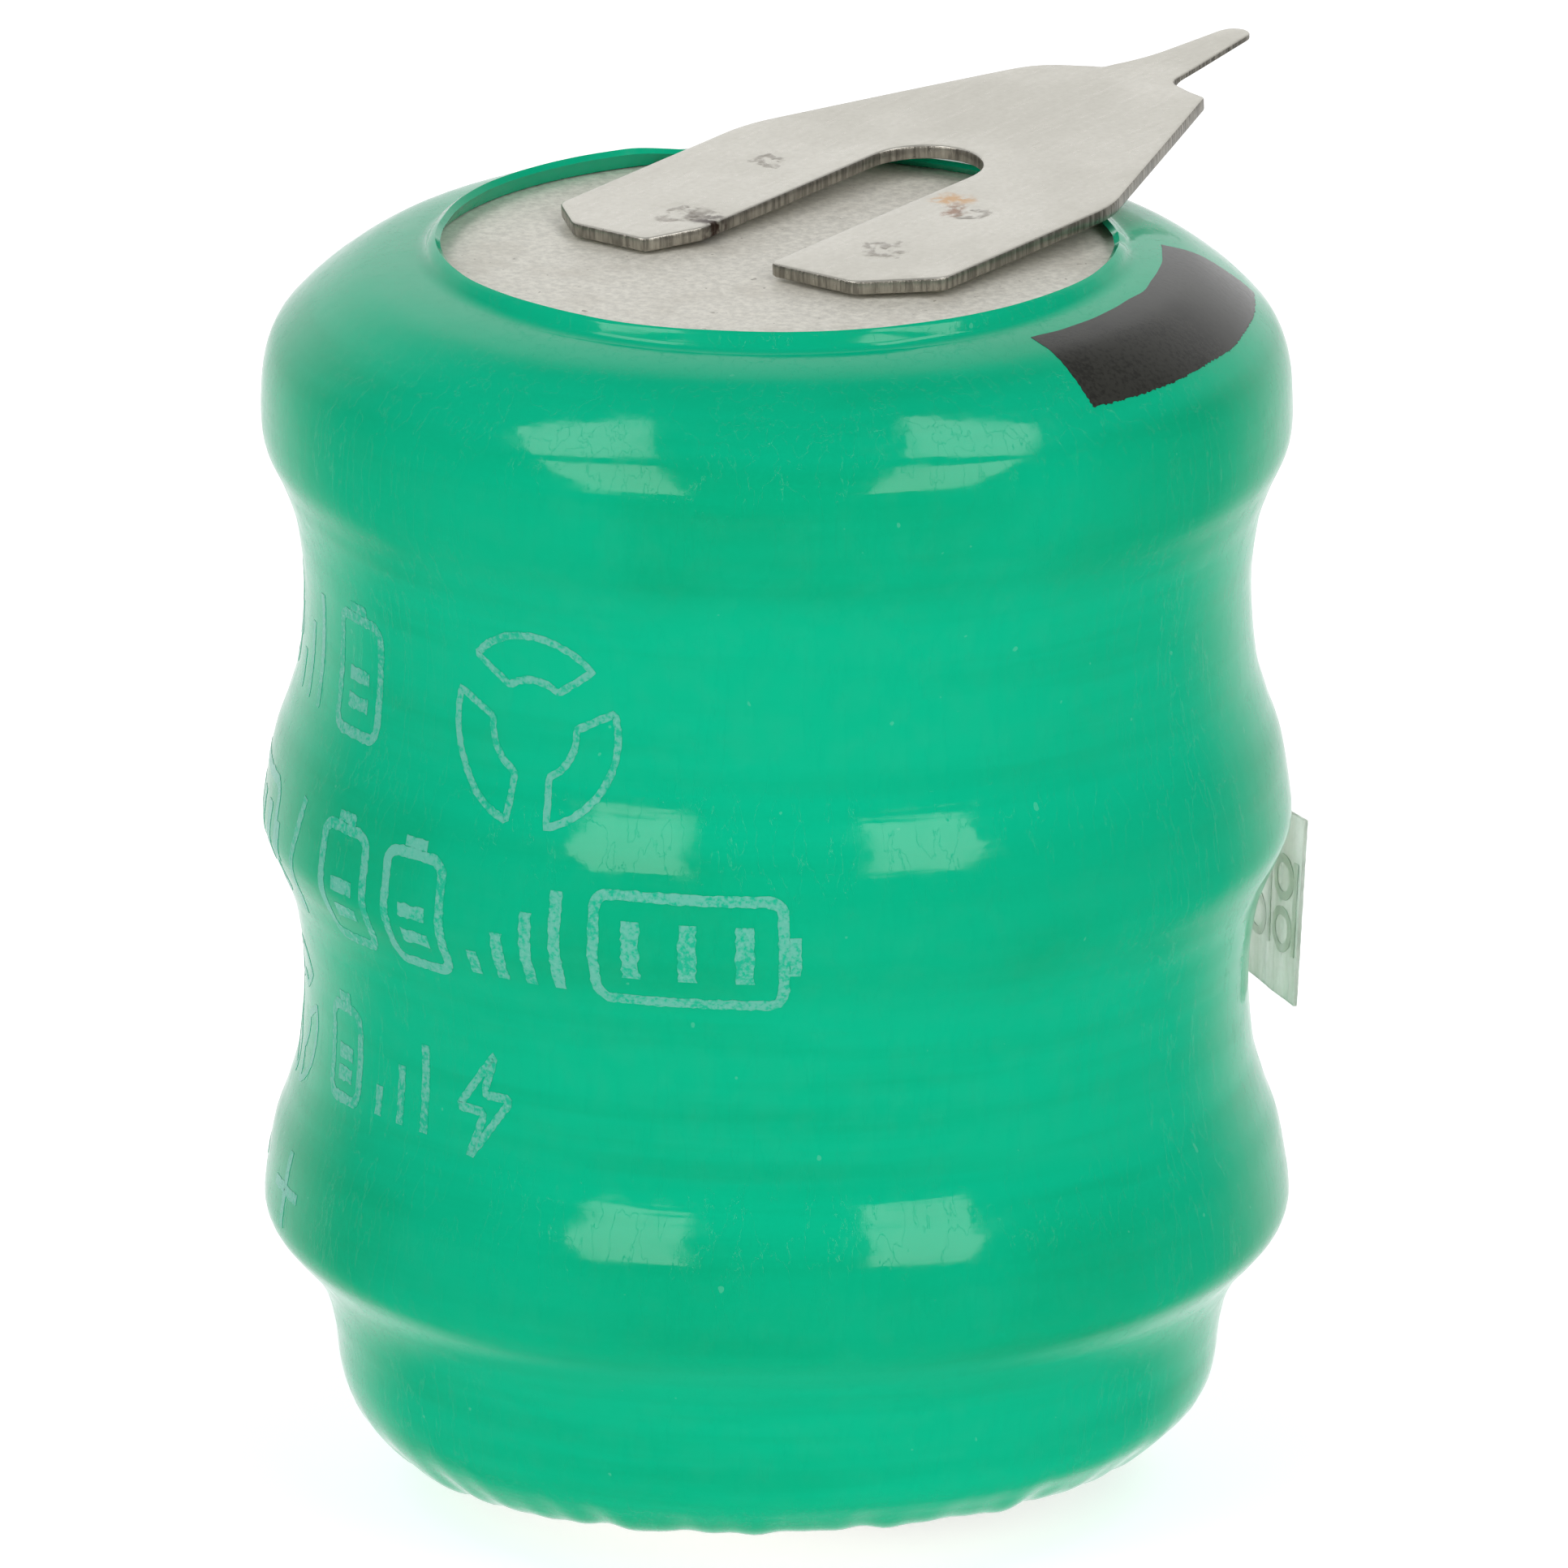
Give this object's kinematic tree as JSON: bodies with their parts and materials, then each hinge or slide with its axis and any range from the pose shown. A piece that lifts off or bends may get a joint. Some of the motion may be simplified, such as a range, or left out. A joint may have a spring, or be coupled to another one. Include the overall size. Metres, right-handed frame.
{
  "type": "button cell battery pack",
  "caption": "Stack of rechargeable button cells in a waisted shrink sleeve, with a forked solder tag on each end.",
  "frame": {"origin": "on the stack's axis, halfway between the positive and the negative end faces, which is the centre of mass", "axes": "+Z along the stack's axis towards the positive end face; +Y the way both solder tags point; +X completes a right-handed set"},
  "size_m": [0.0158, 0.0198, 0.0205],
  "materials": {
    "nickel_can": "nickel-plated steel, fine-grained satin",
    "nickel_lid": "nickel-plated steel, fine-grained satin",
    "nickel_gauze": "woven nickel wire",
    "positive_mass": "pressed powder, dull",
    "negative_mass": "pressed metal powder, dull",
    "separator_felt": "non-woven felt",
    "spring_steel": "rolled, satin",
    "gasket_nylon": "moulded nylon",
    "nickel_strip": "rolled nickel strip",
    "tag_metal": "stamped nickel-plated steel with bright sheared edges",
    "sleeve_film": "glossy shrunk film",
    "label_film": "thin pale film"
  },
  "bodies": {
    "root": {"cell_1_can": "nickel_can", "cell_1_positive_gauze": "nickel_gauze", "cell_1_positive_pellet": "positive_mass", "cell_1_separator": "separator_felt", "cell_1_negative_pellet": "negative_mass", "cell_1_negative_gauze": "nickel_gauze", "cell_1_contact_spring": "spring_steel", "cell_1_gasket": "gasket_nylon", "cell_1_lid": "nickel_lid", "cell_2_can": "nickel_can", "cell_2_positive_gauze": "nickel_gauze", "cell_2_positive_pellet": "positive_mass", "cell_2_separator": "separator_felt", "cell_2_negative_pellet": "negative_mass", "cell_2_negative_gauze": "nickel_gauze", "cell_2_contact_spring": "spring_steel", "cell_2_gasket": "gasket_nylon", "cell_2_lid": "nickel_lid", "cell_3_can": "nickel_can", "cell_3_positive_gauze": "nickel_gauze", "cell_3_positive_pellet": "positive_mass", "cell_3_separator": "separator_felt", "cell_3_negative_pellet": "negative_mass", "cell_3_negative_gauze": "nickel_gauze", "cell_3_contact_spring": "spring_steel", "cell_3_gasket": "gasket_nylon", "cell_3_lid": "nickel_lid", "cell_link_upper": "nickel_strip", "cell_link_lower": "nickel_strip", "positive_tag": "tag_metal", "negative_tag": "tag_metal", "sleeve": "sleeve_film", "label": "label_film"}
  },
  "joints": []
}
